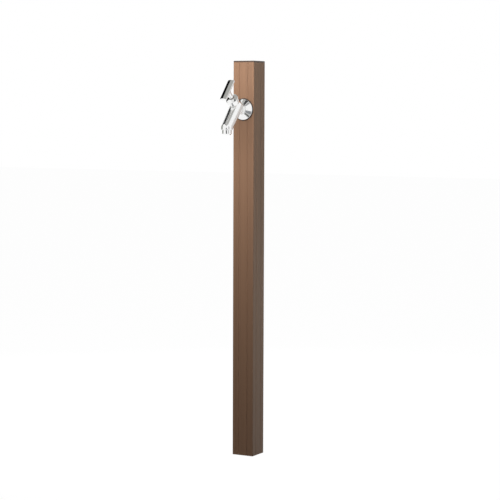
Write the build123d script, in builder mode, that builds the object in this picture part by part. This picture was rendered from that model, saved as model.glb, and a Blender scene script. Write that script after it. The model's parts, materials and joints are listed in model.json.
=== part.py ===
from build123d import *

import os
from math import asin, cos, radians, sin, sqrt

# Garden standpipe: a square extruded post with a water pipe inside and a quarter-turn tap on its front.
# Millimetres. The origin is the centre of the post's foot, +Z is up and the tap looks towards -Y.

# Post
POST_HEIGHT = 1200.0
POST_WIDTH = 70.0
POST_WALL = 2.0
POST_CORNER = 1.5
GROOVE_OFFSET = 14.75
GROOVE_DEPTH = 0.9
PORT_OFFSET = 29.0
PORT_RADIUS = 4.4
PORT_BORE = 1.7
PORT_SLOT = 1.6
FRONT = -POST_WIDTH / 2
INSIDE = POST_WIDTH - 2 * POST_WALL

# Cap and its screws
CAP_THICKNESS = 4.5
CAP_CHAMFER = 1.2
CAP_SKIRT_DEPTH = 8.0
CAP_SKIRT_WALL = 2.0
FIT_INSIDE = 0.2
CORNER_CUTOUT = 10.5
SCREW_RADIUS = 1.65
SCREW_HOLE_RADIUS = 2.2
SCREW_HEAD_RADIUS = 3.8
SCREW_HEAD_SINK = 0.2
SCREW_LENGTH = 16.0
SCREW_DRIVE_WIDTH = 0.9
SCREW_DRIVE_LENGTH = 3.6
SCREW_DRIVE_DEPTH = 1.2
PROFILE_TOP = POST_HEIGHT - CAP_THICKNESS

# Water pipe and what centres it
PIPE_RADIUS = 9.0
PIPE_BORE = 6.5
SOCKET_BORE = 9.1
SOCKET_RADIUS = 12.0
SOCKET_DEPTH = 26.0
SOCKET_RIB = 2.0
SOCKET_FOOT = 8.0
PLUG_FOOT = 6.0
PLUG_THICKNESS = 9.0
DRAIN_SLOT_LENGTH = 16.0
DRAIN_SLOT_WIDTH = 6.0
DRAIN_SLOT_OFFSET = 23.0
SPACER_THICKNESS = 12.0
SPACER_HEIGHTS = {"lower": 360.0, "upper": 760.0}

# Elbow behind the tap
TAP_HEIGHT = 1054.2
ELBOW_RADIUS = 13.0
ELBOW_NOSE = 6.0
ELBOW_SOCKET_DROP = 44.0
ELBOW_STOP_DROP = 19.0
ELBOW_SHOULDER_RADIUS = 19.0
ELBOW_SHOULDER_THICKNESS = 4.0
ELBOW_WASHER_THICKNESS = 1.0
ELBOW_BORE = 6.5
THREAD_RADIUS = 10.35
THREAD_FIT = 0.05
THREAD_DEPTH = 22.0
WALL_HOLE_RADIUS = 13.6
LOCK_NUT_ACROSS_FLATS = 34.0
LOCK_NUT_THICKNESS = 4.2

# Wall flange, with its reach measured out from the post's front face
FLANGE_RADIUS = 31.5
FLANGE_BACK = 2.8
FLANGE_RIM = 4.2
FLANGE_TOP = 14.0
FLANGE_NECK_RADIUS = 16.3
FLANGE_SHELL = 1.2
GASKET_WIDTH = 3.5

# Tap body
SHANK_RADIUS = 15.0
SHANK_START = 8.0
THREAD_END = -12.0
INLET_END = 43.0
BARREL_ANGLE = 47.0
BARREL_REACH = 51.9
BARREL_TOP_RADIUS = 19.8
BARREL_BORE = 12.0
BARREL_BORE_START = 9.0
OUTLET_REACH = 101.8
BODY_END_LEVEL = 993.4
BODY_END_RADIUS = 17.4
BODY_FILLET = 3.0
NIPPLE_RADIUS = 12.0
NIPPLE_BORE = 9.5
NIPPLE_LEVEL = 984.9

# Valve, measured along the spindle from the bonnet nut's upper rim
SPINDLE_ANGLE = 41.5
SPINDLE_REACH = 72.3
SPINDLE_HEIGHT = 1086.1
BONNET_RADIUS = 18.8
BONNET_SKIRT = -14.0
BONNET_CHAMFER = 1.2
BONNET_CONE_TOP = 3.5
BONNET_CONE_RADIUS = 8.5
BOSS_RADIUS = 14.0
BOSS_TOP = -4.0
BONNET_CEILING = -1.5
CHAMBER_RADIUS = 11.0
CHAMBER_FLOOR = -31.0
SEAT_PORT_RADIUS = 5.0
SEAT_PORT_END = -43.0
EXIT_PORT_RADIUS = 5.0
EXIT_PORT_OFFSET = 11.5
EXIT_PORT_START = -4.0
EXIT_PORT_END = 15.0

# Headwork that drops into the body, along the spindle
CAGE_FOOT = -30.0
CAGE_RADIUS = 9.8
CAVITY_RADIUS = 8.4
CAVITY_TOP = -17.4
PLUG_SECTION_FOOT = -14.0
CLAMP_RADIUS = 13.8
NECK_RADIUS = 7.0
NECK_TOP = 4.2
RING_GROOVE_RADIUS = 9.4
RING_GROOVE_LOW = -10.6
RING_GROOVE_WIDTH = 2.4
WINDOW_LOW = -24.0
WINDOW_TOP = -21.2
WINDOW_ANGLE = 100.0
SEAL_INNER = 5.6
SEAL_OUTER = 9.6
FIXED_DISC_TOP = -27.0
TURNING_DISC_LOW = -26.98
TURNING_DISC_TOP = -24.0
DISC_RADIUS = 8.33
DISC_NOTCH_RADIUS = 6.6
DISC_NOTCH_WIDTH = 4.0
DISC_OPENING_INNER = 1.6
DISC_OPENING_OUTER = 5.4
DISC_OPENING_ANGLE = 80.0

# Spindle
STEM_RADIUS = 4.5
STEM_FIT = 0.05
FOOT_LOW = -20.0
FOOT_TOP = -17.5
DOG_END = -26.0
DOG_CLEARANCE = 0.1
LUG_RADIUS = 9.5
CUT_MARGIN = 1.0
LUG_START = 215.0
LUG_ANGLE = 20.0
QUARTER_TURN = 90.0
STOP_PLAY = 1.0
STEM_GROOVE_RADIUS = 3.6
STEM_GROOVE_WIDTH = 1.4
STEM_GROOVES = (-12.0, -6.0)
CLIP_LOW = 4.5
CLIP_THICKNESS = 0.8
CLIP_RADIUS = 6.0
CLIP_GAP = 60.0
DRIVE_SQUARE = 6.0
DRIVE_FIT = 0.04
DRIVE_LOW = 5.9
DRIVE_TOP = 18.0

# Handle
BAR_LENGTH = 75.0
BAR_WIDTH = 22.0
BAR_TOP = 42.0
BAR_EDGE = 39.2
BAR_UNDERSIDE = 34.2
BAR_CORNER = 3.2
BAR_ROUNDING = 1.2
HUB_FOOT = 6.2
HUB_RADIUS = 6.6
HUB_WAIST = 20.0
HUB_FLARE_LENGTH = 30.0
HUB_FLARE_WIDTH = 14.0
GRUB_RADIUS = 2.0
GRUB_LENGTH = 3.4
GRUB_HEIGHT = 12.0
GRUB_DRIVE_ACROSS_FLATS = 2.0
GRUB_DRIVE_DEPTH = 1.6

# Outlet
COLLAR_RADIUS = 14.3
COLLAR_LENGTH = 14.4
COLLAR_TOP_CHAMFER = 0.6
COLLAR_BEVEL_WIDTH = 3.6
COLLAR_BEVEL_HEIGHT = 3.4
COLLAR_LIP = 3.0
COLLAR_MOUTH = 10.2
COLLAR_FIT = 0.05
STRAIGHTENER_CUP = 9.2
STRAIGHTENER_HEIGHT = 8.0
STRAIGHTENER_FLANGE = 1.0
STRAIGHTENER_HOLE = 1.0
STRAIGHTENER_PITCH = 3.0

# Working planes
INLET = Plane(origin=(0, FRONT, TAP_HEIGHT), x_dir=(1, 0, 0), z_dir=(0, -1, 0))
SPINDLE = Plane(
    origin=(0, FRONT - SPINDLE_REACH, SPINDLE_HEIGHT),
    x_dir=(1, 0, 0),
    z_dir=(0, -cos(radians(SPINDLE_ANGLE)), sin(radians(SPINDLE_ANGLE))),
)
BARREL = Plane(
    origin=(0, FRONT - BARREL_REACH, TAP_HEIGHT),
    x_dir=(1, 0, 0),
    z_dir=(0, -cos(radians(BARREL_ANGLE)), -sin(radians(BARREL_ANGLE))),
)
BARREL_END = (OUTLET_REACH - BARREL_REACH) / cos(radians(BARREL_ANGLE))
KNEE_HEIGHT = TAP_HEIGHT - BARREL_END * sin(radians(BARREL_ANGLE))
OUTLET = Plane(origin=(0, FRONT - OUTLET_REACH, 0), x_dir=(1, 0, 0), z_dir=(0, 0, 1))
COLLAR_FOOT = BODY_END_LEVEL - COLLAR_LENGTH


def axis_of(plane):
    return Axis(plane.origin, plane.z_dir)


def outline_of_turned(plane, points):
    """Face to turn about the plane's normal, from points of radius and height along that normal."""
    section = Plane(origin=plane.origin, x_dir=plane.x_dir, z_dir=-plane.y_dir)
    with BuildSketch(section) as face:
        with BuildLine():
            Polyline(*points, close=True)
        make_face()
    return face.sketch


def sector(plane, inner, outer, start, size):
    """Ring sector in the plane, from an angle and over an angle, in degrees."""
    with BuildSketch(plane) as face:
        with BuildLine():
            CenterArc((0, 0), outer, start, size)
            CenterArc((0, 0), inner, start, size)
            for angle in (radians(start), radians(start + size)):
                Line((inner * cos(angle), inner * sin(angle)), (outer * cos(angle), outer * sin(angle)))
        make_face()
    return face.sketch


def inside_outline(plane, hole_radius):
    """Square that fits inside the post clear of its corner ports, with a hole for the pipe."""
    size = INSIDE - 2 * FIT_INSIDE
    with BuildSketch(plane) as face:
        Rectangle(size, size)
        with GridLocations(size, size, 2, 2):
            Rectangle(2 * CORNER_CUTOUT, 2 * CORNER_CUTOUT, mode=Mode.SUBTRACT)
        Circle(hole_radius, mode=Mode.SUBTRACT)
    return face.sketch


os.makedirs("parts", exist_ok=True)

# Post, one aluminium extrusion with two fine grooves down each face and a screw port in each corner
with BuildPart() as column_profile:
    with BuildSketch():
        RectangleRounded(POST_WIDTH, POST_WIDTH, POST_CORNER)
        Rectangle(INSIDE, INSIDE, mode=Mode.SUBTRACT)
        with PolarLocations(POST_WIDTH / 2, 4):
            with Locations((0, GROOVE_OFFSET), (0, -GROOVE_OFFSET)):
                Rectangle(GROOVE_DEPTH * sqrt(2), GROOVE_DEPTH * sqrt(2), rotation=45, mode=Mode.SUBTRACT)
        with GridLocations(2 * PORT_OFFSET, 2 * PORT_OFFSET, 2, 2):
            Circle(PORT_RADIUS)
        with GridLocations(2 * PORT_OFFSET, 2 * PORT_OFFSET, 2, 2):
            Circle(PORT_BORE, mode=Mode.SUBTRACT)
        with PolarLocations(PORT_OFFSET * sqrt(2) - PORT_RADIUS / 2, 4, start_angle=45):
            Rectangle(PORT_RADIUS + PORT_BORE, PORT_SLOT, mode=Mode.SUBTRACT)
    extrude(amount=PROFILE_TOP)
    with BuildSketch(INLET):
        Circle(WALL_HOLE_RADIUS)
    extrude(amount=-2 * POST_WALL, mode=Mode.SUBTRACT)
column_profile.part.label = "column_profile"

# Cap, a plate with a bevelled top edge and a skirt that plugs into the post between its corner ports
with BuildPart() as top_cap:
    with BuildSketch(Plane.XY.offset(PROFILE_TOP)):
        RectangleRounded(POST_WIDTH, POST_WIDTH, POST_CORNER)
    extrude(amount=CAP_THICKNESS)
    chamfer(top_cap.faces().sort_by(Axis.Z)[-1].edges(), CAP_CHAMFER)
    with BuildSketch(Plane.XY.offset(PROFILE_TOP)):
        Rectangle(INSIDE - 2 * FIT_INSIDE, INSIDE - 2 * FIT_INSIDE)
        offset(amount=-CAP_SKIRT_WALL, mode=Mode.SUBTRACT)
        with GridLocations(INSIDE, INSIDE, 2, 2):
            Rectangle(2 * CORNER_CUTOUT, 2 * CORNER_CUTOUT, mode=Mode.SUBTRACT)
    extrude(amount=-CAP_SKIRT_DEPTH)
    with Locations(Plane.XY.offset(POST_HEIGHT)):
        with GridLocations(2 * PORT_OFFSET, 2 * PORT_OFFSET, 2, 2):
            CounterSinkHole(SCREW_HOLE_RADIUS, SCREW_HEAD_RADIUS + 2 * SCREW_HEAD_SINK, CAP_THICKNESS)
top_cap.part.label = "top_cap"

# Four countersunk screws that hold the cap in the corner ports
SCREW_HEAD_HEIGHT = SCREW_HEAD_RADIUS - SCREW_RADIUS
with BuildPart() as cap_screw:
    with BuildSketch(Plane.XZ):
        with BuildLine():
            Polyline(
                (0, 0),
                (SCREW_HEAD_RADIUS, 0),
                (SCREW_RADIUS, -SCREW_HEAD_HEIGHT),
                (SCREW_RADIUS, -SCREW_LENGTH + SCREW_RADIUS),
                (0, -SCREW_LENGTH),
                close=True,
            )
        make_face()
    revolve(axis=Axis.Z)
    with BuildSketch():
        Rectangle(SCREW_DRIVE_LENGTH, SCREW_DRIVE_WIDTH)
        Rectangle(SCREW_DRIVE_WIDTH, SCREW_DRIVE_LENGTH)
    extrude(amount=-SCREW_DRIVE_DEPTH, mode=Mode.SUBTRACT)

with BuildPart() as cap_screws:
    with Locations(Plane.XY.offset(POST_HEIGHT - SCREW_HEAD_SINK)):
        with GridLocations(2 * PORT_OFFSET, 2 * PORT_OFFSET, 2, 2):
            add(cap_screw.part)
cap_screws.part.label = "cap_screws"

# Moulded plug that closes the foot and centres the pipe, with slots that let rain out
with BuildPart() as base_plug:
    extrude(inside_outline(Plane.XY.offset(PLUG_FOOT), SOCKET_RADIUS), amount=PLUG_THICKNESS)
    with BuildSketch(Plane.XY.offset(PLUG_FOOT)):
        with PolarLocations(DRAIN_SLOT_OFFSET, 4):
            SlotOverall(DRAIN_SLOT_LENGTH, DRAIN_SLOT_WIDTH, rotation=90)
    extrude(amount=PLUG_THICKNESS, mode=Mode.SUBTRACT)
base_plug.part.label = "base_plug"

# Solvent-weld socket for the buried supply pipe, with a rib between its two ends
SOCKET_TOP = SOCKET_FOOT + 2 * SOCKET_DEPTH + SOCKET_RIB
with BuildPart() as supply_socket:
    with BuildSketch(Plane.XY.offset(SOCKET_FOOT)):
        Circle(SOCKET_RADIUS)
    extrude(amount=2 * SOCKET_DEPTH + SOCKET_RIB)
    with Locations(Plane.XY.offset(SOCKET_TOP)):
        CounterBoreHole(PIPE_BORE, PIPE_RADIUS, SOCKET_DEPTH)
    with BuildSketch(Plane.XY.offset(SOCKET_FOOT)):
        Circle(SOCKET_BORE)
    extrude(amount=SOCKET_DEPTH, mode=Mode.SUBTRACT)
supply_socket.part.label = "supply_socket"

# Riser pipe from the socket up to the elbow
PIPE_FOOT = SOCKET_FOOT + SOCKET_DEPTH + SOCKET_RIB
PIPE_TOP = TAP_HEIGHT - ELBOW_STOP_DROP
with BuildPart() as riser_pipe:
    with BuildSketch(Plane.XY.offset(PIPE_FOOT)):
        Circle(PIPE_RADIUS)
        Circle(PIPE_BORE, mode=Mode.SUBTRACT)
    extrude(amount=PIPE_TOP - PIPE_FOOT)
riser_pipe.part.label = "riser_pipe"

# Two foam spacers that keep the pipe in the middle of the post
spacers = {}
for place, height in SPACER_HEIGHTS.items():
    with BuildPart() as spacer:
        extrude(inside_outline(Plane.XY.offset(height), PIPE_RADIUS), amount=SPACER_THICKNESS)
    spacer.part.label = f"pipe_spacer_{place}"
    spacers[place] = spacer.part

# Bronze elbow: a pipe socket below, a threaded boss through the wall and a shoulder against its inside
INNER_FACE = -POST_WALL
SHOULDER_FRONT = INNER_FACE - ELBOW_WASHER_THICKNESS
with BuildPart() as pipe_elbow:
    with BuildSketch(Plane.XY.offset(TAP_HEIGHT - ELBOW_SOCKET_DROP)):
        Circle(ELBOW_RADIUS)
    extrude(amount=ELBOW_SOCKET_DROP)
    with Locations((0, 0, TAP_HEIGHT)):
        Sphere(ELBOW_RADIUS)
    with BuildSketch(INLET.offset(FRONT)):
        Circle(ELBOW_RADIUS)
    extrude(amount=ELBOW_NOSE - FRONT)
    with BuildSketch(INLET.offset(SHOULDER_FRONT)):
        Circle(ELBOW_SHOULDER_RADIUS)
    extrude(amount=-ELBOW_SHOULDER_THICKNESS)
    with BuildSketch(Plane.XY.offset(TAP_HEIGHT - ELBOW_SOCKET_DROP)):
        Circle(PIPE_RADIUS)
    extrude(amount=ELBOW_SOCKET_DROP - ELBOW_STOP_DROP, mode=Mode.SUBTRACT)
    with BuildSketch(Plane.XY.offset(PIPE_TOP)):
        Circle(ELBOW_BORE)
    extrude(amount=ELBOW_STOP_DROP, mode=Mode.SUBTRACT)
    with Locations((0, 0, TAP_HEIGHT)):
        Sphere(ELBOW_BORE, mode=Mode.SUBTRACT)
    with BuildSketch(INLET.offset(FRONT)):
        Circle(ELBOW_BORE)
    extrude(amount=-FRONT, mode=Mode.SUBTRACT)
    with BuildSketch(INLET.offset(ELBOW_NOSE)):
        Circle(THREAD_RADIUS + THREAD_FIT)
    extrude(amount=-THREAD_DEPTH, mode=Mode.SUBTRACT)
pipe_elbow.part.label = "pipe_elbow"

# Fibre washer between the elbow's shoulder and the post
with BuildPart() as elbow_washer:
    with BuildSketch(INLET.offset(SHOULDER_FRONT)):
        Circle(ELBOW_SHOULDER_RADIUS)
        Circle(ELBOW_RADIUS, mode=Mode.SUBTRACT)
    extrude(amount=ELBOW_WASHER_THICKNESS)
elbow_washer.part.label = "elbow_washer"

# Lock nut that pulls the elbow against the post, hidden under the wall flange
with BuildPart() as elbow_lock_nut:
    with BuildSketch(INLET):
        RegularPolygon(LOCK_NUT_ACROSS_FLATS / 2, 6, major_radius=False)
        Circle(ELBOW_RADIUS, mode=Mode.SUBTRACT)
    extrude(amount=LOCK_NUT_THICKNESS)
elbow_lock_nut.part.label = "elbow_lock_nut"

# Soft gasket behind the flange's rim
with BuildPart() as flange_gasket:
    with BuildSketch(INLET):
        Circle(FLANGE_RADIUS)
        Circle(FLANGE_RADIUS - GASKET_WIDTH, mode=Mode.SUBTRACT)
    extrude(amount=FLANGE_BACK)
flange_gasket.part.label = "flange_gasket"

# Pressed conical flange that covers the hole and the nut
with BuildPart() as wall_flange:
    flange_outline = [
        (FLANGE_RADIUS - FLANGE_SHELL, FLANGE_BACK),
        (FLANGE_RADIUS, FLANGE_BACK),
        (FLANGE_RADIUS, FLANGE_RIM),
        (FLANGE_NECK_RADIUS, FLANGE_TOP),
        (SHANK_RADIUS, FLANGE_TOP),
        (SHANK_RADIUS, FLANGE_TOP - FLANGE_SHELL),
        (FLANGE_NECK_RADIUS - FLANGE_SHELL / 2, FLANGE_TOP - FLANGE_SHELL),
        (FLANGE_RADIUS - FLANGE_SHELL, FLANGE_RIM - FLANGE_SHELL / 2),
    ]
    revolve(outline_of_turned(INLET, flange_outline), axis=axis_of(INLET))
wall_flange.part.label = "wall_flange"

# Cast tap body: shank, round valve chamber, tapered barrel with a ball end and the outlet nipple
with BuildPart() as tap_body:
    spindle_foot = -(SPINDLE.origin - BARREL.origin).dot(SPINDLE.z_dir)
    chamber_centre = SPINDLE.origin + SPINDLE.z_dir * spindle_foot
    barrel_start = (chamber_centre - BARREL.origin).dot(BARREL.z_dir)
    taper = asin((BARREL_TOP_RADIUS - BODY_END_RADIUS) / (BARREL_END - barrel_start))
    with BuildSketch(INLET.offset(SHANK_START)):
        Circle(SHANK_RADIUS)
    extrude(amount=INLET_END - SHANK_START)
    with BuildSketch(Plane(origin=BARREL.origin, x_dir=BARREL.x_dir, z_dir=-BARREL.y_dir)):
        with BuildLine():
            ball_top = RadiusArc(
                (0, barrel_start - BARREL_TOP_RADIUS),
                (BARREL_TOP_RADIUS * cos(taper), barrel_start + BARREL_TOP_RADIUS * sin(taper)),
                -BARREL_TOP_RADIUS,
            )
            knee_ball = RadiusArc(
                (BODY_END_RADIUS * cos(taper), BARREL_END + BODY_END_RADIUS * sin(taper)),
                (0, BARREL_END + BODY_END_RADIUS),
                -BODY_END_RADIUS,
            )
            Line(ball_top @ 1, knee_ball @ 0)
            Line(knee_ball @ 1, ball_top @ 0)
        make_face()
    revolve(axis=axis_of(BARREL))
    with BuildSketch(SPINDLE.offset(BOSS_TOP)):
        Circle(BOSS_RADIUS)
    extrude(amount=spindle_foot - BOSS_TOP)
    fillet(tap_body.edges().filter_by(GeomType.BSPLINE), BODY_FILLET)
    split(bisect_by=Plane.XY.offset(BODY_END_LEVEL), keep=Keep.TOP)
    with BuildSketch(OUTLET.offset(BODY_END_LEVEL)):
        Circle(BODY_END_RADIUS)
    extrude(amount=KNEE_HEIGHT - BODY_END_LEVEL)
    with BuildSketch(OUTLET.offset(NIPPLE_LEVEL)):
        Circle(NIPPLE_RADIUS)
    extrude(amount=BODY_END_LEVEL - NIPPLE_LEVEL)
    with BuildSketch(INLET.offset(THREAD_END)):
        Circle(THREAD_RADIUS)
    extrude(amount=SHANK_START - THREAD_END)
    # Water ways, from the inlet through the seat and the chamber to the outlet
    with BuildSketch(INLET.offset(THREAD_END)):
        Circle(ELBOW_BORE)
    extrude(amount=INLET_END - THREAD_END, mode=Mode.SUBTRACT)
    with BuildSketch(SPINDLE.offset(SEAT_PORT_END)):
        Circle(SEAT_PORT_RADIUS)
    extrude(amount=CHAMBER_FLOOR - SEAT_PORT_END, mode=Mode.SUBTRACT)
    with BuildSketch(SPINDLE.offset(CHAMBER_FLOOR)):
        Circle(CHAMBER_RADIUS)
    extrude(amount=BOSS_TOP - CHAMBER_FLOOR, mode=Mode.SUBTRACT)
    with BuildSketch(BARREL.offset(EXIT_PORT_START)):
        with Locations((0, EXIT_PORT_OFFSET)):
            Circle(EXIT_PORT_RADIUS)
    extrude(amount=EXIT_PORT_END - EXIT_PORT_START, mode=Mode.SUBTRACT)
    with BuildSketch(BARREL.offset(BARREL_BORE_START)):
        Circle(BARREL_BORE)
    extrude(amount=BARREL_END - BARREL_BORE_START, mode=Mode.SUBTRACT)
    with Locations((0, FRONT - OUTLET_REACH, KNEE_HEIGHT)):
        Sphere(BARREL_BORE, mode=Mode.SUBTRACT)
    with BuildSketch(OUTLET.offset(NIPPLE_LEVEL)):
        Circle(NIPPLE_BORE)
    extrude(amount=KNEE_HEIGHT - NIPPLE_LEVEL, mode=Mode.SUBTRACT)
tap_body.part.label = "tap_body"

# Bonnet nut that screws over the boss and clamps the headwork
with BuildPart() as bonnet_nut:
    bonnet_outline = [
        (BOSS_RADIUS + STEM_FIT, BONNET_SKIRT),
        (BONNET_RADIUS - BONNET_CHAMFER, BONNET_SKIRT),
        (BONNET_RADIUS, BONNET_SKIRT + BONNET_CHAMFER),
        (BONNET_RADIUS, -BONNET_CHAMFER),
        (BONNET_RADIUS - BONNET_CHAMFER, 0),
        (BONNET_CONE_RADIUS, BONNET_CONE_TOP),
        (NECK_RADIUS + STEM_FIT, BONNET_CONE_TOP),
        (NECK_RADIUS + STEM_FIT, BONNET_CEILING),
        (BOSS_RADIUS + STEM_FIT, BONNET_CEILING),
    ]
    revolve(outline_of_turned(SPINDLE, bonnet_outline), axis=axis_of(SPINDLE))
bonnet_nut.part.label = "bonnet_nut"

# Headwork housing: a neck for the spindle, a clamped flange, a ring groove and the cage round the discs
PLUG_SECTION_RADIUS = CHAMBER_RADIUS - STEM_FIT
STOP_SLOT_ANGLE = QUARTER_TURN + LUG_ANGLE + 2 * STOP_PLAY
with BuildPart() as headwork_housing:
    housing_outline = [
        (CAVITY_RADIUS, CAGE_FOOT),
        (CAGE_RADIUS, CAGE_FOOT),
        (CAGE_RADIUS, PLUG_SECTION_FOOT),
        (PLUG_SECTION_RADIUS, PLUG_SECTION_FOOT),
        (PLUG_SECTION_RADIUS, RING_GROOVE_LOW),
        (RING_GROOVE_RADIUS, RING_GROOVE_LOW),
        (RING_GROOVE_RADIUS, RING_GROOVE_LOW + RING_GROOVE_WIDTH),
        (PLUG_SECTION_RADIUS, RING_GROOVE_LOW + RING_GROOVE_WIDTH),
        (PLUG_SECTION_RADIUS, BOSS_TOP),
        (CLAMP_RADIUS, BOSS_TOP),
        (CLAMP_RADIUS, BONNET_CEILING),
        (NECK_RADIUS, BONNET_CEILING),
        (NECK_RADIUS, NECK_TOP),
        (STEM_RADIUS + STEM_FIT, NECK_TOP),
        (STEM_RADIUS + STEM_FIT, CAVITY_TOP),
        (CAVITY_RADIUS, CAVITY_TOP),
    ]
    revolve(outline_of_turned(SPINDLE, housing_outline), axis=axis_of(SPINDLE))
    cut_inner = CAVITY_RADIUS - CUT_MARGIN
    cut_outer = CAGE_RADIUS + CUT_MARGIN
    for window_start in (90 - WINDOW_ANGLE / 2, 270 - WINDOW_ANGLE / 2):
        window = sector(SPINDLE.offset(WINDOW_LOW), cut_inner, cut_outer, window_start, WINDOW_ANGLE)
        extrude(window, amount=WINDOW_TOP - WINDOW_LOW, mode=Mode.SUBTRACT)
    slot_start = LUG_START - STOP_PLAY
    stop_slot = sector(SPINDLE.offset(FOOT_LOW), cut_inner, cut_outer, slot_start, STOP_SLOT_ANGLE)
    extrude(stop_slot, amount=CAVITY_TOP - FOOT_LOW, mode=Mode.SUBTRACT)
headwork_housing.part.label = "headwork_housing"


def o_ring_outline(groove_radius, outer_radius, height):
    """Eight-sided section of an O-ring round the spindle, squeezed between its groove and its bore."""
    section = Plane(origin=SPINDLE.origin, x_dir=SPINDLE.x_dir, z_dir=-SPINDLE.y_dir)
    with BuildSketch(section) as face:
        with Locations(((groove_radius + outer_radius) / 2, height)):
            RegularPolygon((outer_radius - groove_radius) / 2, 8, major_radius=False, rotation=22.5)
    return face.sketch


# O-ring in the housing's groove
with BuildPart() as headwork_o_ring:
    groove_middle = RING_GROOVE_LOW + RING_GROOVE_WIDTH / 2
    ring_outline = o_ring_outline(RING_GROOVE_RADIUS, PLUG_SECTION_RADIUS, groove_middle)
    revolve(ring_outline, axis=axis_of(SPINDLE))
headwork_o_ring.part.label = "headwork_o_ring"

# Rubber seal between the body's seat and the fixed disc
with BuildPart() as seat_seal:
    with BuildSketch(SPINDLE.offset(CHAMBER_FLOOR)):
        Circle(SEAL_OUTER)
        Circle(SEAL_INNER, mode=Mode.SUBTRACT)
    extrude(amount=CAGE_FOOT - CHAMBER_FLOOR)
seat_seal.part.label = "seat_seal"


def disc_openings(plane, middle):
    """Two opposite openings of a ceramic disc, the first about the given angle."""
    first = middle - DISC_OPENING_ANGLE / 2
    return [
        sector(plane, DISC_OPENING_INNER, DISC_OPENING_OUTER, start, DISC_OPENING_ANGLE)
        for start in (first, first + 180)
    ]


# Fixed ceramic disc, held in the cage over the seat
with BuildPart() as fixed_disc:
    with BuildSketch(SPINDLE.offset(CAGE_FOOT)):
        Circle(DISC_RADIUS)
    extrude(amount=FIXED_DISC_TOP - CAGE_FOOT)
    for opening in disc_openings(SPINDLE.offset(CAGE_FOOT), 0):
        extrude(opening, amount=FIXED_DISC_TOP - CAGE_FOOT, mode=Mode.SUBTRACT)
fixed_disc.part.label = "fixed_disc"

# Turning ceramic disc, shut at rest, with a notch each side for the spindle's dogs
with BuildPart() as turning_disc:
    with BuildSketch(SPINDLE.offset(TURNING_DISC_LOW)):
        Circle(DISC_RADIUS)
        with GridLocations(4 * DISC_NOTCH_RADIUS, 0, 2, 1):
            Rectangle(2 * DISC_NOTCH_RADIUS, DISC_NOTCH_WIDTH, mode=Mode.SUBTRACT)
    extrude(amount=TURNING_DISC_TOP - TURNING_DISC_LOW)
    for opening in disc_openings(SPINDLE.offset(TURNING_DISC_LOW), 90):
        extrude(opening, amount=TURNING_DISC_TOP - TURNING_DISC_LOW, mode=Mode.SUBTRACT)
turning_disc.part.label = "turning_disc"

# Spindle: a foot with two dogs and a stop lug, a grooved stem and a square for the handle
with BuildPart() as spindle:
    spindle_outline = [
        (0, FOOT_LOW),
        (DISC_RADIUS, FOOT_LOW),
        (DISC_RADIUS, FOOT_TOP),
        (STEM_RADIUS, FOOT_TOP),
    ]
    for low in STEM_GROOVES:
        spindle_outline += [
            (STEM_RADIUS, low),
            (STEM_GROOVE_RADIUS, low),
            (STEM_GROOVE_RADIUS, low + STEM_GROOVE_WIDTH),
            (STEM_RADIUS, low + STEM_GROOVE_WIDTH),
        ]
    spindle_outline += [
        (STEM_RADIUS, CLIP_LOW),
        (STEM_GROOVE_RADIUS, CLIP_LOW),
        (STEM_GROOVE_RADIUS, CLIP_LOW + CLIP_THICKNESS),
        (STEM_RADIUS, CLIP_LOW + CLIP_THICKNESS),
        (STEM_RADIUS, DRIVE_LOW),
        (0, DRIVE_LOW),
    ]
    revolve(outline_of_turned(SPINDLE, spindle_outline), axis=axis_of(SPINDLE))
    with BuildSketch(SPINDLE.offset(DRIVE_LOW)):
        Rectangle(DRIVE_SQUARE, DRIVE_SQUARE)
    extrude(amount=DRIVE_TOP - DRIVE_LOW)
    dog_inner = DISC_NOTCH_RADIUS + DOG_CLEARANCE
    dog_outer = DISC_RADIUS - DOG_CLEARANCE
    with BuildSketch(SPINDLE.offset(FOOT_LOW)):
        with GridLocations(dog_inner + dog_outer, 0, 2, 1):
            Rectangle(dog_outer - dog_inner, DISC_NOTCH_WIDTH - 2 * DOG_CLEARANCE)
        Circle(DISC_RADIUS, mode=Mode.INTERSECT)
    extrude(amount=DOG_END - FOOT_LOW)
    lug_plane = SPINDLE.offset(FOOT_LOW + DOG_CLEARANCE)
    stop_lug = sector(lug_plane, STEM_RADIUS, LUG_RADIUS, LUG_START, LUG_ANGLE)
    extrude(stop_lug, amount=FOOT_TOP - FOOT_LOW - DOG_CLEARANCE)
spindle.part.label = "spindle"

# Two O-rings on the stem
with BuildPart() as spindle_o_rings:
    for low in STEM_GROOVES:
        ring_outline = o_ring_outline(STEM_GROOVE_RADIUS, STEM_RADIUS, low + STEM_GROOVE_WIDTH / 2)
        revolve(ring_outline, axis=axis_of(SPINDLE))
spindle_o_rings.part.label = "spindle_o_rings"

# Spring clip that keeps the spindle from dropping into the cage
with BuildPart() as spindle_clip:
    clip = sector(SPINDLE.offset(CLIP_LOW), STEM_GROOVE_RADIUS, CLIP_RADIUS, CLIP_GAP / 2, 360 - CLIP_GAP)
    extrude(clip, amount=CLIP_THICKNESS)
spindle_clip.part.label = "spindle_clip"

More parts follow.
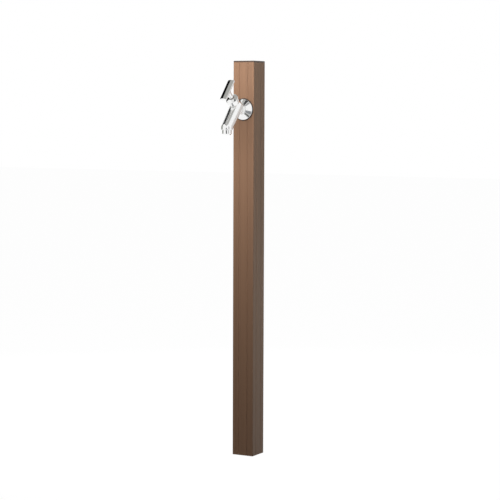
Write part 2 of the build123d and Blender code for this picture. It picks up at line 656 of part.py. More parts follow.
# T handle: a crowned bar across a neck that flares up to it, with a square socket for the spindle
BAR_END = Plane(
    origin=SPINDLE.origin - SPINDLE.y_dir * (BAR_LENGTH / 2), x_dir=-SPINDLE.x_dir, z_dir=SPINDLE.y_dir
)
with BuildPart() as handle_bar:
    with BuildSketch(BAR_END):
        with BuildLine():
            Polyline(
                (-BAR_WIDTH / 2, BAR_EDGE),
                (-BAR_WIDTH / 2, BAR_UNDERSIDE),
                (BAR_WIDTH / 2, BAR_UNDERSIDE),
                (BAR_WIDTH / 2, BAR_EDGE),
            )
            ThreePointArc((BAR_WIDTH / 2, BAR_EDGE), (0, BAR_TOP), (-BAR_WIDTH / 2, BAR_EDGE))
        make_face()
    extrude(amount=BAR_LENGTH)
    fillet(handle_bar.edges().filter_by(axis_of(SPINDLE)), BAR_CORNER)
    fillet(handle_bar.edges().filter_by(axis_of(SPINDLE), reverse=True), BAR_ROUNDING)
    with BuildSketch(SPINDLE.offset(HUB_FOOT)):
        Circle(HUB_RADIUS)
    extrude(amount=HUB_WAIST - HUB_FOOT)
    with BuildSketch(SPINDLE.offset(HUB_WAIST)):
        Circle(HUB_RADIUS)
    with BuildSketch(SPINDLE.offset(BAR_UNDERSIDE)):
        Ellipse(HUB_FLARE_WIDTH / 2, HUB_FLARE_LENGTH / 2)
    loft()
    with BuildSketch(SPINDLE.offset(HUB_FOOT)):
        Rectangle(DRIVE_SQUARE + 2 * DRIVE_FIT, DRIVE_SQUARE + 2 * DRIVE_FIT)
    extrude(amount=DRIVE_TOP + DOG_CLEARANCE - HUB_FOOT, mode=Mode.SUBTRACT)
    GRUB = Plane(
        origin=SPINDLE.offset(GRUB_HEIGHT).origin + SPINDLE.y_dir * (DRIVE_SQUARE / 2 + DRIVE_FIT),
        x_dir=SPINDLE.x_dir,
        z_dir=SPINDLE.y_dir,
    )
    with BuildSketch(GRUB):
        Circle(GRUB_RADIUS)
    extrude(amount=HUB_RADIUS, mode=Mode.SUBTRACT)
handle_bar.part.label = "handle_bar"

# Grub screw through the back of the neck onto the spindle's square
with BuildPart() as handle_set_screw:
    with BuildSketch(GRUB):
        Circle(GRUB_RADIUS)
    extrude(amount=GRUB_LENGTH)
    with BuildSketch(GRUB.offset(GRUB_LENGTH)):
        RegularPolygon(GRUB_DRIVE_ACROSS_FLATS / 2, 6, major_radius=False)
    extrude(amount=-GRUB_DRIVE_DEPTH, mode=Mode.SUBTRACT)
handle_set_screw.part.label = "handle_set_screw"

# Outlet collar that screws onto the nipple, with a lip that holds the straightener
LIP_TOP = COLLAR_FOOT + COLLAR_LIP
with BuildPart() as outlet_collar:
    collar_outline = [
        (COLLAR_MOUTH, COLLAR_FOOT),
        (COLLAR_RADIUS - COLLAR_BEVEL_WIDTH, COLLAR_FOOT),
        (COLLAR_RADIUS, COLLAR_FOOT + COLLAR_BEVEL_HEIGHT),
        (COLLAR_RADIUS, BODY_END_LEVEL - COLLAR_TOP_CHAMFER),
        (COLLAR_RADIUS - COLLAR_TOP_CHAMFER, BODY_END_LEVEL),
        (NIPPLE_RADIUS + COLLAR_FIT, BODY_END_LEVEL),
        (NIPPLE_RADIUS + COLLAR_FIT, LIP_TOP),
        (COLLAR_MOUTH, LIP_TOP),
    ]
    revolve(outline_of_turned(OUTLET, collar_outline), axis=axis_of(OUTLET))
outlet_collar.part.label = "outlet_collar"

# Flow straightener, a flanged cup of parallel holes that sits on the lip
with BuildPart() as flow_straightener:
    with BuildSketch(OUTLET.offset(LIP_TOP)):
        Circle(NIPPLE_RADIUS)
    extrude(amount=STRAIGHTENER_FLANGE)
    with BuildSketch(OUTLET.offset(LIP_TOP)):
        Circle(STRAIGHTENER_CUP)
    extrude(amount=STRAIGHTENER_HEIGHT)
    with BuildSketch(OUTLET.offset(LIP_TOP)):
        Circle(STRAIGHTENER_HOLE)
        for ring in (1, 2):
            with PolarLocations(ring * STRAIGHTENER_PITCH, 6 * ring):
                Circle(STRAIGHTENER_HOLE)
    extrude(amount=STRAIGHTENER_HEIGHT, mode=Mode.SUBTRACT)
flow_straightener.part.label = "flow_straightener"

# Rubber washer between the straightener and the nipple
with BuildPart() as outlet_washer:
    with BuildSketch(OUTLET.offset(LIP_TOP + STRAIGHTENER_FLANGE)):
        Circle(NIPPLE_RADIUS)
        Circle(STRAIGHTENER_CUP, mode=Mode.SUBTRACT)
    extrude(amount=NIPPLE_LEVEL - LIP_TOP - STRAIGHTENER_FLANGE)
outlet_washer.part.label = "outlet_washer"

for piece in (
    column_profile, top_cap, cap_screws, base_plug, supply_socket, riser_pipe, pipe_elbow, elbow_washer,
    elbow_lock_nut, flange_gasket, wall_flange, tap_body, bonnet_nut, headwork_housing, headwork_o_ring,
    seat_seal, fixed_disc, turning_disc, spindle, spindle_o_rings, spindle_clip, handle_bar,
    handle_set_screw, outlet_collar, flow_straightener, outlet_washer,
):
    export_step(piece.part, f"parts/{piece.part.label}.step")
for spacer_piece in spacers.values():
    export_step(spacer_piece, f"parts/{spacer_piece.label}.step")
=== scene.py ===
import json
from math import cos, pi, radians, sin, sqrt, tan

import bmesh
import bpy
from mathutils import Matrix, Vector
from mathutils.bvhtree import BVHTree


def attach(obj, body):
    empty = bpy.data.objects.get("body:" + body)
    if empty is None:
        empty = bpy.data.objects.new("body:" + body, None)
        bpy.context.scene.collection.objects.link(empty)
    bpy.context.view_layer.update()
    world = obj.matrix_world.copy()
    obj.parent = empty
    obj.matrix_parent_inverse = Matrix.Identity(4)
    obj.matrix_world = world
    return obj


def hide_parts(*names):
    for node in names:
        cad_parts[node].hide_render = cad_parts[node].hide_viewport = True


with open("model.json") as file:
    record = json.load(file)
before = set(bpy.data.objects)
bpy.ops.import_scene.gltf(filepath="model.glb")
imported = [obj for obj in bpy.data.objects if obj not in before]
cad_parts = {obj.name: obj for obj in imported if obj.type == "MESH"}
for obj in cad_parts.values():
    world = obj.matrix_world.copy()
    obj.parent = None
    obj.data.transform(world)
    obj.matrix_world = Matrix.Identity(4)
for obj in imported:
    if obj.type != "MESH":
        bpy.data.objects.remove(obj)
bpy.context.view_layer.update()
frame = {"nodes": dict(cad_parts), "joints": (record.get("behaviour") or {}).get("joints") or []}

# The camera stands five metres off, level with the tap and round to its right, as the photograph was taken.
# Its place and angles were solved from the six corners of the post, and the long lens fills a square frame.
CAMERA_PLACE = (2.51288, -4.60780, 1.06130)
CAMERA_ROUND = radians(28.5607)
CAMERA_DOWN = radians(4.7251)
CAMERA_ROLL = radians(0.1963)
CAMERA_LENS = 124.48
CAMERA_SENSOR = 36.0

camera_data = bpy.data.cameras.new("camera")
camera_data.lens = CAMERA_LENS
camera_data.sensor_width = CAMERA_SENSOR
camera = bpy.data.objects.new("camera", camera_data)
bpy.context.scene.collection.objects.link(camera)
turn = Matrix.Rotation(CAMERA_ROUND, 4, "Z") @ Matrix.Rotation(pi / 2 - CAMERA_DOWN, 4, "X")
camera.matrix_world = Matrix.Translation(CAMERA_PLACE) @ turn @ Matrix.Rotation(CAMERA_ROLL, 4, "Z")
bpy.context.scene.camera = camera

# Post: a 70 mm square aluminium extrusion, anodised bronze with a satin face. The die leaves fine lines
# along its length, and two narrow grooves run down each face.
POST_BROWN = (0.600, 0.332, 0.192, 1)
POST_BROWN_DEEP = (0.240, 0.142, 0.096, 1)
POST_SMOOTH = 0.40
POST_ROUGH = 0.52
POST_SHEEN = 0.20
DIE_LINES = 480.0
DIE_BANDS = 130.0
DIE_STRETCH = 0.6
DIE_BAND_SHARE = 0.6
DIE_LINE_DEPTH = 0.00002


def marks_group(name, inputs):
    """Empty shader group for a pattern of marks: its inputs as given, and a mask and a height out."""
    group = bpy.data.node_groups.new(name, "ShaderNodeTree")
    for socket, default in inputs.items():
        item = group.interface.new_socket(socket, in_out="INPUT", socket_type="NodeSocketFloat")
        item.default_value = default
    for socket in ("Mask", "Height"):
        group.interface.new_socket(socket, in_out="OUTPUT", socket_type="NodeSocketFloat")
    return group, group.nodes.new("NodeGroupInput"), group.nodes.new("NodeGroupOutput")


def noise_on_object(group, scale, detail, vector=None):
    """Noise texture in a group, on Object coordinates unless another vector is given."""
    noise = group.nodes.new("ShaderNodeTexNoise")
    noise.inputs["Detail"].default_value = detail
    if isinstance(scale, float):
        noise.inputs["Scale"].default_value = scale
    else:
        group.links.new(scale, noise.inputs["Scale"])
    if vector is None:
        vector = group.nodes.new("ShaderNodeTexCoord").outputs["Object"]
    group.links.new(vector, noise.inputs["Vector"])
    return noise.outputs["Fac"]


def stretched_noise(group, across, along, detail):
    """Noise drawn out along Z, so that it makes long straight streaks."""
    stretch = group.nodes.new("ShaderNodeCombineXYZ")
    for axis, socket in (("X", across), ("Y", across), ("Z", along)):
        group.links.new(socket, stretch.inputs[axis])
    stretched = group.nodes.new("ShaderNodeVectorMath")
    stretched.operation = "MULTIPLY"
    group.links.new(group.nodes.new("ShaderNodeTexCoord").outputs["Object"], stretched.inputs[0])
    group.links.new(stretch.outputs["Vector"], stretched.inputs[1])
    return noise_on_object(group, scale=1.0, detail=detail, vector=stretched.outputs["Vector"])


def drawn_lines_group():
    """Fine straight lines along Z, as a die or a drawbench leaves them, over broader bands of tone."""
    group, given, made = marks_group(
        "drawn_lines", {"Lines": DIE_LINES, "Bands": DIE_BANDS, "Along": DIE_STRETCH}
    )
    lines = stretched_noise(group, given.outputs["Lines"], given.outputs["Along"], detail=3.0)
    bands = stretched_noise(group, given.outputs["Bands"], given.outputs["Along"], detail=2.0)
    both = group.nodes.new("ShaderNodeMix")
    both.inputs["Factor"].default_value = DIE_BAND_SHARE
    group.links.new(lines, both.inputs["A"])
    group.links.new(bands, both.inputs["B"])
    group.links.new(both.outputs["Result"], made.inputs["Mask"])
    group.links.new(lines, made.inputs["Height"])
    return group


def finish(name, marks, sockets, deep, light, smooth, rough, depth, metallic, sheen=0.5):
    """Material whose colour, roughness and relief follow a pattern of marks."""
    material = bpy.data.materials.new(name)
    material.use_nodes = True
    nodes, links = material.node_tree.nodes, material.node_tree.links
    shader = nodes["Principled BSDF"]
    shader.inputs["Metallic"].default_value = metallic
    shader.inputs["Specular IOR Level"].default_value = sheen
    pattern = nodes.new("ShaderNodeGroup")
    pattern.node_tree = marks
    for socket, value in sockets.items():
        pattern.inputs[socket].default_value = value
    tone = nodes.new("ShaderNodeMix")
    tone.data_type = "RGBA"
    tone.inputs["A"].default_value = deep
    tone.inputs["B"].default_value = light
    links.new(pattern.outputs["Mask"], tone.inputs["Factor"])
    links.new(tone.outputs["Result"], shader.inputs["Base Color"])
    polish = nodes.new("ShaderNodeMapRange")
    polish.inputs["To Min"].default_value = smooth
    polish.inputs["To Max"].default_value = rough
    links.new(pattern.outputs["Mask"], polish.inputs["Value"])
    links.new(polish.outputs["Result"], shader.inputs["Roughness"])
    bump = nodes.new("ShaderNodeBump")
    bump.inputs["Distance"].default_value = depth
    links.new(pattern.outputs["Height"], bump.inputs["Height"])
    links.new(bump.outputs["Normal"], shader.inputs["Normal"])
    return material


def dress(node, material):
    """Give a CAD node's object its finish."""
    slots = frame["nodes"][node].data.materials
    slots.clear()
    slots.append(material)


drawn_lines = drawn_lines_group()
dress("column_profile", finish(
    "bronze_anodised_extrusion", drawn_lines, {"Lines": DIE_LINES, "Bands": DIE_BANDS},
    deep=POST_BROWN_DEEP, light=POST_BROWN, smooth=POST_SMOOTH, rough=POST_ROUGH,
    depth=DIE_LINE_DEPTH, metallic=0.0, sheen=POST_SHEEN,
))

# Cap and its screws: a die-cast aluminium plate with a bevelled edge, coated a darker, glossier brown than
# the post, so that its edge shows as a dark band along the top. It is held by four countersunk stainless
# screws that cut into the extrusion's corner ports.
CAP_BROWN = (0.120, 0.062, 0.036, 1)
CAP_BROWN_DEEP = (0.080, 0.042, 0.026, 1)
CAP_SHEEN = 0.8
CAP_GRAIN = 2400.0
CAP_PATCHES = 40.0
STEEL_LIGHT = (0.66, 0.65, 0.63, 1)
STEEL_DEEP = (0.50, 0.49, 0.47, 1)


def grain_group():
    """Fine grain of a cast, moulded or coated face, with broad patches under it."""
    group, given, made = marks_group("grain", {"Scale": CAP_GRAIN, "Patches": CAP_PATCHES})
    fine = noise_on_object(group, given.outputs["Scale"], detail=4.0)
    broad = noise_on_object(group, given.outputs["Patches"], detail=3.0)
    mean = group.nodes.new("ShaderNodeMix")
    mean.inputs["Factor"].default_value = 0.5
    group.links.new(fine, mean.inputs["A"])
    group.links.new(broad, mean.inputs["B"])
    group.links.new(mean.outputs["Result"], made.inputs["Mask"])
    group.links.new(fine, made.inputs["Height"])
    return group


grain = grain_group()
dress("top_cap", finish(
    "bronze_coated_casting", grain, {"Scale": CAP_GRAIN, "Patches": CAP_PATCHES},
    deep=CAP_BROWN_DEEP, light=CAP_BROWN, smooth=0.16, rough=0.26,
    depth=0.00002, metallic=0.0, sheen=CAP_SHEEN,
))
stainless = finish(
    "stainless_steel_plain", grain, {"Scale": 4000.0, "Patches": 300.0},
    deep=STEEL_DEEP, light=STEEL_LIGHT, smooth=0.18, rough=0.34, depth=0.00001, metallic=1.0,
)
dress("cap_screws", stainless)

# Foot and supply: a moulded black plug closes the foot and holds a grey PVC socket for the buried pipe. The
# riser is glued into the socket, and two blocks of closed-cell foam keep it in the middle of the post.
PLUG_BLACK = (0.030, 0.030, 0.031, 1)
PLUG_WORN = (0.062, 0.061, 0.060, 1)
PVC_GREY = (0.30, 0.32, 0.34, 1)
PVC_SCUFFED = (0.41, 0.42, 0.43, 1)
FOAM_PALE = (0.82, 0.81, 0.77, 1)
FOAM_SHADE = (0.60, 0.59, 0.55, 1)

black_plastic = finish(
    "moulded_black_plastic", grain, {"Scale": 2000.0, "Patches": 60.0},
    deep=PLUG_BLACK, light=PLUG_WORN, smooth=0.40, rough=0.62, depth=0.00004, metallic=0.0,
)
grey_pvc = finish(
    "extruded_grey_pvc", drawn_lines, {"Lines": 350.0, "Bands": 90.0},
    deep=PVC_GREY, light=PVC_SCUFFED, smooth=0.30, rough=0.48, depth=0.00002, metallic=0.0,
)
foam = finish(
    "closed_cell_foam", grain, {"Scale": 700.0, "Patches": 90.0},
    deep=FOAM_SHADE, light=FOAM_PALE, smooth=0.75, rough=0.95, depth=0.0003, metallic=0.0,
)
dress("base_plug", black_plastic)
dress("supply_socket", grey_pvc)
dress("riser_pipe", grey_pvc)
dress("pipe_spacer_lower", foam)
dress("pipe_spacer_upper", foam)

# Elbow, washer and lock nut: a sand-cast bronze elbow pushed onto the riser, drawn against the inside of the
# wall by a hexagon nut on its threaded nose, with a red fibre washer between.
BRONZE_LIGHT = (0.62, 0.43, 0.25, 1)
BRONZE_DEEP = (0.36, 0.23, 0.13, 1)
FIBRE_RED = (0.42, 0.085, 0.055, 1)
FIBRE_DARK = (0.24, 0.045, 0.035, 1)

bronze = finish(
    "cast_bronze", grain, {"Scale": 1500.0, "Patches": 120.0},
    deep=BRONZE_DEEP, light=BRONZE_LIGHT, smooth=0.30, rough=0.55, depth=0.00008, metallic=0.9,
)
dress("pipe_elbow", bronze)
dress("elbow_lock_nut", bronze)
dress("elbow_washer", finish(
    "pressed_red_fibre", grain, {"Scale": 3000.0, "Patches": 400.0},
    deep=FIBRE_DARK, light=FIBRE_RED, smooth=0.65, rough=0.85, depth=0.00005, metallic=0.0,
))

# Wall flange and gasket: a cone spun from thin brass sheet and chromed, with a short straight rim that
# presses a black rubber ring to the post, so that the ring's lip bulges past the rim. The cone slides along
# the shank to hide the nut.
INLET_AXIS = (0, -1, 0)
INLET_HEIGHT = 1.0542
POST_FACE = -0.035
FLANGE_RADIUS = 0.0315
FLANGE_BACK = 0.0028
FLANGE_RIM = 0.0042
FLANGE_TOP = 0.014
FLANGE_NECK = 0.0163
FLANGE_WALL = 0.0012
FLANGE_FIT = 0.00005
FLANGE_RIM_ROUND = 0.0016
FLANGE_NECK_ROUND = 0.0008
GASKET_BORE = 0.028
GASKET_LIP = 0.0018
GASKET_ROUND = 0.0008
SHANK_RADIUS = 0.015
OUTER_EDGE = 0.0003
INNER_EDGE = 0.0002
CHROME_LIGHT = (0.95, 0.95, 0.945, 1)
CHROME_DULL = (0.87, 0.87, 0.865, 1)
RUBBER_BLACK = (0.022, 0.022, 0.022, 1)
RUBBER_GREY = (0.050, 0.049, 0.048, 1)
TURNED_SIDES = 192
ARC_STEPS = 8
MERGE_GAP = 0.000001
SMOOTH_ANGLE = radians(32)
# The small step holds a run straight beside an arc, clears a neighbour, and catches what lies at a level.
SMALL_STEP = 0.00015


def seat(origin, direction):
    """Place that stands a piece on an axis in the middle plane of the post, its X staying level."""
    along = Vector(direction).normalized()
    across = Vector((1, 0, 0))
    columns = (across, along.cross(across), along, Vector(origin))
    return Matrix([[column[row] for column in columns] for row in range(3)] + [[0, 0, 0, 1]])


def take_up(piece):
    """Select one piece and nothing else."""
    bpy.ops.object.select_all(action="DESELECT")
    piece.select_set(True)
    bpy.context.view_layer.objects.active = piece


def stand(piece, place):
    """Stand a mesh in its place, with the object itself left at the origin."""
    take_up(piece)
    piece.matrix_world = place
    bpy.ops.object.transform_apply(location=True, rotation=True, scale=True)


def settle(piece, place):
    """Stand a finished mesh in its place and shade it smooth."""
    stand(piece, place)
    bpy.ops.object.shade_smooth_by_angle(angle=SMOOTH_ANGLE)
    return piece


def eased(corners):
    """Outline of (radius, height, rounding) corners with an arc at each, and its long runs held straight."""
    points = []
    for index, (radius, height, rounding) in enumerate(corners):
        here = Vector((radius, height))
        back = (Vector(corners[index - 1][:2]) - here).normalized()
        ahead = (Vector(corners[(index + 1) % len(corners)][:2]) - here).normalized()
        half = back.angle(ahead) / 2
        centre = here + (back + ahead).normalized() * rounding / sin(half)
        start, end = (here + way * rounding / tan(half) - centre for way in (back, ahead))
        for step in range(ARC_STEPS + 1):
            points.append(centre + start.lerp(end, step / ARC_STEPS).normalized() * rounding)
    held = []
    for here, after in zip(points, points[1:] + points[:1]):
        held.append(here)
        run = after - here
        if run.length > 4 * SMALL_STEP:
            held += [here + run.normalized() * SMALL_STEP, after - run.normalized() * SMALL_STEP]
    return held


def turned(name, corners, place):
    """Ring turned on its axis: a circle extruded and resized from point to point round its section."""
    section = eased(corners)
    radius, height = section[0]
    bpy.ops.object.select_all(action="DESELECT")
    bpy.ops.mesh.primitive_circle_add(vertices=TURNED_SIDES, radius=radius, location=(0, 0, height))
    piece = bpy.context.object
    piece.name = name
    bpy.ops.object.transform_apply(location=True, rotation=False, scale=False)
    bpy.ops.object.mode_set(mode="EDIT")
    bpy.ops.mesh.select_mode(type="VERT")
    bpy.ops.mesh.select_all(action="SELECT")
    for next_radius, next_height in section[1:] + section[:1]:
        bpy.ops.mesh.extrude_region_move(TRANSFORM_OT_translate={"value": (0, 0, next_height - height)})
        growth = next_radius / radius
        bpy.ops.transform.resize(value=(growth, growth, 1), center_override=(0, 0, next_height))
        radius, height = next_radius, next_height
    bpy.ops.mesh.select_all(action="SELECT")
    bpy.ops.mesh.remove_doubles(threshold=MERGE_GAP)
    bpy.ops.mesh.normals_make_consistent(inside=False)
    bpy.ops.object.mode_set(mode="OBJECT")
    return settle(piece, place)


def polish_group():
    """Handled bright metal: broad smears with fine specks, over the faint waviness of hand polishing."""
    group, given, made = marks_group("polish", {"Smears": 25.0, "Waves": 90.0})
    smears = noise_on_object(group, given.outputs["Smears"], detail=5.0)
    waves = noise_on_object(group, given.outputs["Waves"], detail=1.0)
    group.links.new(smears, made.inputs["Mask"])
    group.links.new(waves, made.inputs["Height"])
    return group


def fit(piece, node, body, material):
    """Let a modelled piece stand for its CAD node, ride on its body and take its finish."""
    piece.data.materials.clear()
    piece.data.materials.append(material)
    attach(piece, body)
    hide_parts(node)


polish = polish_group()
chromed_spinning = finish(
    "chromed_spinning", polish, {"Smears": 25.0, "Waves": 60.0},
    deep=CHROME_LIGHT, light=CHROME_DULL, smooth=0.10, rough=0.16, depth=0.00002, metallic=1.0,
)
black_rubber = finish(
    "smooth_black_rubber", grain, {"Scale": 1500.0, "Patches": 200.0},
    deep=RUBBER_BLACK, light=RUBBER_GREY, smooth=0.45, rough=0.65, depth=0.00002, metallic=0.0,
)

inlet = seat((0, POST_FACE, INLET_HEIGHT), INLET_AXIS)
gasket = turned("flange_gasket_moulded", [
    (GASKET_BORE, 0, INNER_EDGE),
    (FLANGE_RADIUS + GASKET_LIP, 0, GASKET_ROUND),
    (FLANGE_RADIUS + GASKET_LIP, FLANGE_BACK - SMALL_STEP, GASKET_ROUND),
    (GASKET_BORE, FLANGE_BACK - SMALL_STEP, INNER_EDGE),
], inlet)
fit(gasket, "flange_gasket", "column", black_rubber)
flange = turned("wall_flange_spun", [
    (FLANGE_RADIUS - FLANGE_WALL, FLANGE_BACK, OUTER_EDGE),
    (FLANGE_RADIUS, FLANGE_BACK, OUTER_EDGE),
    (FLANGE_RADIUS, FLANGE_RIM, FLANGE_RIM_ROUND),
    (FLANGE_NECK, FLANGE_TOP, FLANGE_NECK_ROUND),
    (SHANK_RADIUS + FLANGE_FIT, FLANGE_TOP, OUTER_EDGE),
    (SHANK_RADIUS + FLANGE_FIT, FLANGE_TOP - FLANGE_WALL, INNER_EDGE),
    (FLANGE_NECK - FLANGE_WALL / 2, FLANGE_TOP - FLANGE_WALL, INNER_EDGE),
    (FLANGE_RADIUS - FLANGE_WALL, FLANGE_RIM - FLANGE_WALL / 2, FLANGE_NECK_ROUND),
], inlet)
fit(flange, "wall_flange", "column", chromed_spinning)

# Tap body: one brass casting, polished and chromed. A round shank leads from the wall into a ball-shaped
# valve chamber, and a long tapered barrel slopes down from it to a short upright end. The outlet nipple is
# turned below that.
SHANK_START = 0.008
SHANK_END = 0.045
BARREL_ANGLE = radians(47)
BARREL_TOP = (0, -0.0869, INLET_HEIGHT)
BARREL_START = -0.01037
BARREL_LENGTH = 0.07317
CHAMBER_RADIUS_OUT = 0.0198
END_RADIUS = 0.0174
END_LEVEL = 0.9934
OUTLET_Y = -0.1368
KNEE_LEVEL = 1.00069
BOSS_RADIUS = 0.014
BOSS_TOP = -0.004
BOSS_DEPTH = -0.0364
NIPPLE_RADIUS = 0.012
NIPPLE_BORE = 0.0095
NIPPLE_LEVEL = 0.9849
NIPPLE_ROOT = 0.002
THREAD_RADIUS = 0.01035
THREAD_END = -0.012
WATERWAY_RADIUS = 0.0065
SEAT_PORT_RADIUS = 0.005
SEAT_PORT_END = -0.043
CHAMBER_BORE = 0.011
CHAMBER_FLOOR = -0.031
CUT_PAST = 0.001
BODY_FILLET = 0.0045
BODY_VOXEL = 0.00055
SMOOTH_SIDES = 256
EASE_FACTOR = 0.5
EASE_PASSES = 1.6


def rod(radius, foot, top, place, sides=SMOOTH_SIDES):
    """Cylinder along a seat's axis between two heights, the stock that a casting or a cut starts from."""
    bpy.ops.object.select_all(action="DESELECT")
    bpy.ops.mesh.primitive_cylinder_add(
        vertices=sides, radius=radius, depth=top - foot, location=(0, 0, (foot + top) / 2)
    )
    piece = bpy.context.object
    bpy.ops.object.transform_apply(location=True, rotation=False, scale=False)
    stand(piece, place)
    return piece


def cut(piece, tool, operation):
    """Boolean of a piece with a tool shape, which is used up."""
    boolean = piece.modifiers.new("cut", "BOOLEAN")
    boolean.operation = operation
    boolean.solver = "MANIFOLD"
    boolean.object = tool
    take_up(piece)
    bpy.ops.object.modifier_apply(modifier=boolean.name)
    bpy.data.objects.remove(tool)


def cast(name, patterns, voxel, fillet):
    """One casting from overlapping patterns: fused on a fine grid, eased where two patterns meet, and drawn
    back onto the patterns everywhere else."""
    trees = []
    for pattern in patterns:
        pattern_mesh = bmesh.new()
        pattern_mesh.from_mesh(pattern.data)
        trees.append(BVHTree.FromBMesh(pattern_mesh))
        pattern_mesh.free()
    bpy.ops.object.select_all(action="DESELECT")
    for pattern in patterns:
        pattern.select_set(True)
    bpy.context.view_layer.objects.active = patterns[0]
    bpy.ops.object.join()
    piece = patterns[0]
    piece.name = name
    bpy.ops.object.duplicate()
    guide = bpy.context.object
    take_up(piece)
    remesh = piece.modifiers.new("fuse", "REMESH")
    remesh.mode = "VOXEL"
    remesh.voxel_size = voxel
    bpy.ops.object.modifier_apply(modifier=remesh.name)
    near_joint = piece.vertex_groups.new(name="near_joint")
    for vertex in piece.data.vertices:
        gaps = sorted(tree.find_nearest(vertex.co)[3] for tree in trees)
        share = max(0.0, 1.0 - gaps[1] / fillet)
        near_joint.add([vertex.index], share * share * (3 - 2 * share), "REPLACE")
    draw_back = piece.modifiers.new("draw_back", "SHRINKWRAP")
    draw_back.target = guide
    draw_back.wrap_method = "NEAREST_SURFACEPOINT"
    bpy.ops.object.modifier_apply(modifier=draw_back.name)
    ease = piece.modifiers.new("ease", "SMOOTH")
    ease.factor = EASE_FACTOR
    ease.iterations = round((fillet / voxel) ** 2 * EASE_PASSES)
    ease.vertex_group = near_joint.name
    bpy.ops.object.modifier_apply(modifier=ease.name)
    bpy.data.objects.remove(guide)
    piece.vertex_groups.clear()
    return piece


chromed_casting = finish(
    "chromed_casting", polish, {"Smears": 30.0, "Waves": 70.0},
    deep=CHROME_LIGHT, light=CHROME_DULL, smooth=0.16, rough=0.22, depth=0.00002, metallic=1.0,
)

spindle_joint = frame["joints"][0]
spindle = seat(spindle_joint["pos_m"], spindle_joint["axis"])
barrel = seat(BARREL_TOP, (0, -cos(BARREL_ANGLE), -sin(BARREL_ANGLE)))
outlet = seat((0, OUTLET_Y, 0), (0, 0, 1))

bpy.ops.object.select_all(action="DESELECT")
bpy.ops.mesh.primitive_uv_sphere_add(
    segments=SMOOTH_SIDES, ring_count=SMOOTH_SIDES // 2, radius=END_RADIUS
)
barrel_pattern = bpy.context.object
bpy.ops.object.mode_set(mode="EDIT")
bpy.ops.mesh.select_all(action="DESELECT")
bpy.ops.mesh.select_mode(type="VERT")
bpy.ops.object.mode_set(mode="OBJECT")
for vertex in barrel_pattern.data.vertices:
    vertex.select = vertex.co.z < END_RADIUS / SMOOTH_SIDES
bpy.ops.object.mode_set(mode="EDIT")
growth = CHAMBER_RADIUS_OUT / END_RADIUS
bpy.ops.transform.resize(value=(growth, growth, growth), center_override=(0, 0, 0))
bpy.ops.transform.translate(value=(0, 0, BARREL_START - BARREL_LENGTH))
bpy.ops.object.mode_set(mode="OBJECT")
stand(barrel_pattern, barrel @ Matrix.Translation((0, 0, BARREL_LENGTH)))
body_patterns = [
    barrel_pattern,
    rod(SHANK_RADIUS, SHANK_START, SHANK_END, inlet),
    rod(BOSS_RADIUS, BOSS_DEPTH, BOSS_TOP, spindle),
    rod(END_RADIUS, END_LEVEL, KNEE_LEVEL, outlet),
]
body = cast("tap_body_cast", body_patterns, BODY_VOXEL, BODY_FILLET)
bpy.ops.object.mode_set(mode="EDIT")
bpy.ops.mesh.select_all(action="SELECT")
bpy.ops.mesh.bisect(
    plane_co=(0, OUTLET_Y, END_LEVEL + SMALL_STEP), plane_no=(0, 0, 1), use_fill=True, clear_inner=True
)
bpy.ops.object.mode_set(mode="OBJECT")
cut(body, rod(NIPPLE_RADIUS, NIPPLE_LEVEL, END_LEVEL + NIPPLE_ROOT, outlet), "UNION")
cut(body, rod(THREAD_RADIUS, THREAD_END, SHANK_START + CUT_PAST, inlet), "UNION")
cut(body, rod(WATERWAY_RADIUS, THREAD_END - CUT_PAST, SHANK_END, inlet), "DIFFERENCE")
cut(body, rod(SEAT_PORT_RADIUS, SEAT_PORT_END, CHAMBER_FLOOR + CUT_PAST, spindle), "DIFFERENCE")
cut(body, rod(CHAMBER_BORE, CHAMBER_FLOOR, BOSS_TOP + CUT_PAST, spindle), "DIFFERENCE")
cut(body, rod(NIPPLE_BORE, NIPPLE_LEVEL - CUT_PAST, KNEE_LEVEL, outlet), "DIFFERENCE")
settle(body, Matrix.Identity(4))
fit(body, "tap_body", "column", chromed_casting)

# Headwork: a machined brass cartridge, nickel plated, that drops into the chamber, with its O-ring, the seat
# seal, two lapped ceramic discs and the grooved spindle that turns the upper one, kept in by a spring clip.
BRASS_LIGHT = (0.80, 0.63, 0.33, 1)
BRASS_DEEP = (0.62, 0.46, 0.22, 1)
NICKEL_LIGHT = (0.55, 0.53, 0.50, 1)
NICKEL_DEEP = (0.42, 0.40, 0.38, 1)
CERAMIC_WHITE = (0.90, 0.89, 0.86, 1)
CERAMIC_SHADE = (0.80, 0.79, 0.76, 1)

dress("headwork_housing", finish(
    "machined_nickel", polish, {"Smears": 120.0, "Waves": 900.0},
    deep=NICKEL_DEEP, light=NICKEL_LIGHT, smooth=0.16, rough=0.28, depth=0.00001, metallic=1.0,
))
dress("spindle", finish(
    "machined_brass", polish, {"Smears": 120.0, "Waves": 900.0},
    deep=BRASS_DEEP, light=BRASS_LIGHT, smooth=0.16, rough=0.30, depth=0.00001, metallic=1.0,
))
ceramic = finish(
    "lapped_alumina", grain, {"Scale": 5000.0, "Patches": 300.0},
    deep=CERAMIC_SHADE, light=CERAMIC_WHITE, smooth=0.12, rough=0.25, depth=0.000005, metallic=0.0,
)
for node in ("fixed_disc", "turning_disc"):
    dress(node, ceramic)
for node in ("headwork_o_ring", "seat_seal", "spindle_o_rings"):
    dress(node, black_rubber)
dress("spindle_clip", stainless)

# Bonnet nut: a round brass nut, chromed, that screws over the boss and clamps the headwork. Its face slopes
# up in a shallow cone to the neck of the cartridge.
BONNET_RADIUS = 0.0188
BONNET_SKIRT = -0.014
BONNET_SHOULDER = -0.0002
BONNET_CONE_TOP = 0.0035
BONNET_CONE_RADIUS = 0.0085
BONNET_CEILING = -0.0015
BONNET_SKIRT_ROUND = 0.0014
BONNET_SHOULDER_ROUND = 0.0016
BONNET_CONE_ROUND = 0.0006
HEADWORK_NECK = 0.00705
BORE_FIT = 0.00005

